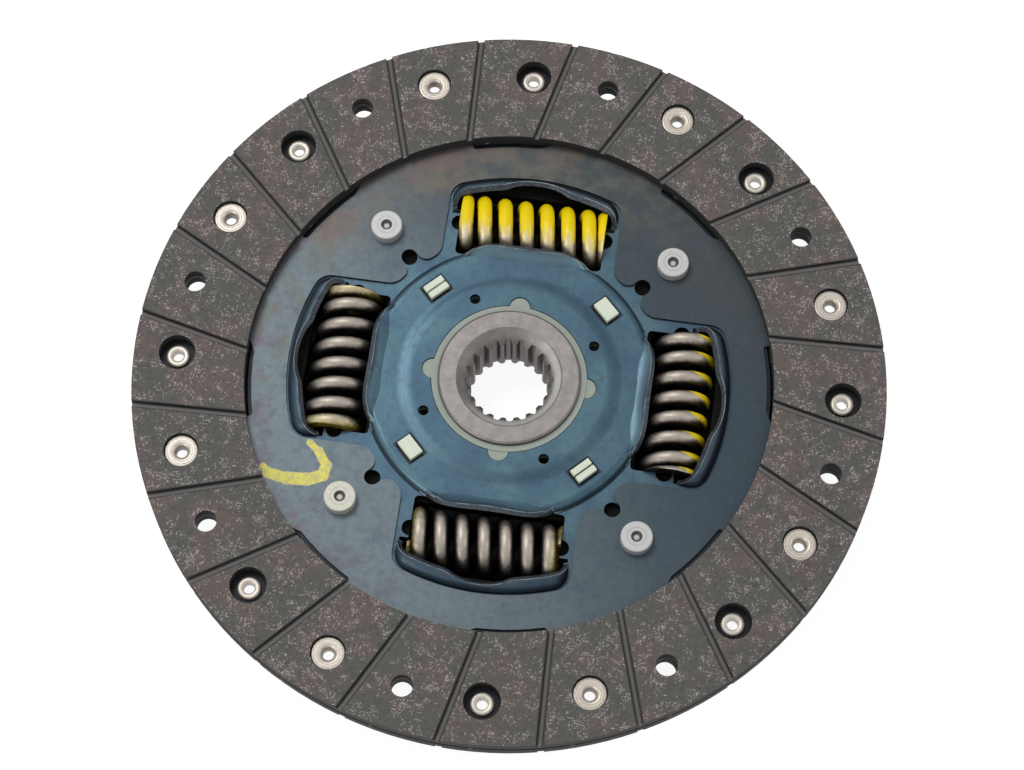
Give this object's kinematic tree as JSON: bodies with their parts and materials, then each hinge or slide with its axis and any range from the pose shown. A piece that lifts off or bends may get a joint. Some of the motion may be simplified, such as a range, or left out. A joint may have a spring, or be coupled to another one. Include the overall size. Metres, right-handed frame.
{
  "type": "clutch disc",
  "caption": "Dry clutch disc: grooved friction ring riveted to a waved cushion plate, coil-spring torsional damper and splined hub.",
  "frame": {"origin": "on the hub's axis, halfway through the thickness of the friction ring", "axes": "+Z along the hub's axis towards the front, the side that carries the cushion plate; +X and +Y through two neighbouring spring windows"},
  "size_m": [0.212, 0.212, 0.0222],
  "materials": {
    "friction": "matt moulded friction material with pale fibres",
    "cushion_steel": "grey-violet tempered spring steel",
    "blued_steel": "blue tempered pressed steel",
    "rivet_steel": "bright plated",
    "stop_rivet_steel": "satin",
    "spring_steel": "shot-peened bare wire",
    "spring_painted": "yellow marking paint on spring wire",
    "hub_steel": "dull machined steel",
    "flange_steel": "dark hardened steel",
    "bush_plastic": "pale natural nylon",
    "washer_composite": "dark friction composite",
    "plain_steel": "oiled spring steel"
  },
  "bodies": {
    "hub": {"hub": "hub_steel", "hub_flange": "flange_steel"},
    "disc": {"facing_front": "friction", "facing_rear": "friction", "cushion_plate": "cushion_steel", "front_retainer": "blued_steel", "rear_retainer": "blued_steel", "stop_rivets": "stop_rivet_steel", "facing_rivets_front": "rivet_steel", "facing_rivets_rear": "rivet_steel", "front_bush": "bush_plastic", "rear_bush": "bush_plastic", "front_friction_washer": "washer_composite", "rear_friction_washer": "washer_composite", "pressure_plate": "plain_steel", "diaphragm_spring": "plain_steel"},
    "springs": {"damper_spring_1": "spring_steel", "damper_spring_2": "spring_painted", "damper_spring_3": "spring_steel", "damper_spring_4": "spring_steel"}
  },
  "joints": [
    {"name": "damper_twist", "type": "hinge", "parent": "hub", "child": "disc", "pos_m": [0, 0, -0.0048], "axis": [0, 0, 1], "range_deg": [-8, 8], "stiffness_Nm_per_rad": 860, "deforming": ["damper_spring_1", "damper_spring_2", "damper_spring_3", "damper_spring_4"]},
    {"name": "spring_follow", "type": "hinge", "parent": "hub", "child": "springs", "pos_m": [0, 0, -0.0048], "axis": [0, 0, 1], "range_deg": [-4, 4]}
  ],
  "couplings": [
    {"joint": "spring_follow", "follows": "damper_twist", "ratio": 0.5}
  ]
}
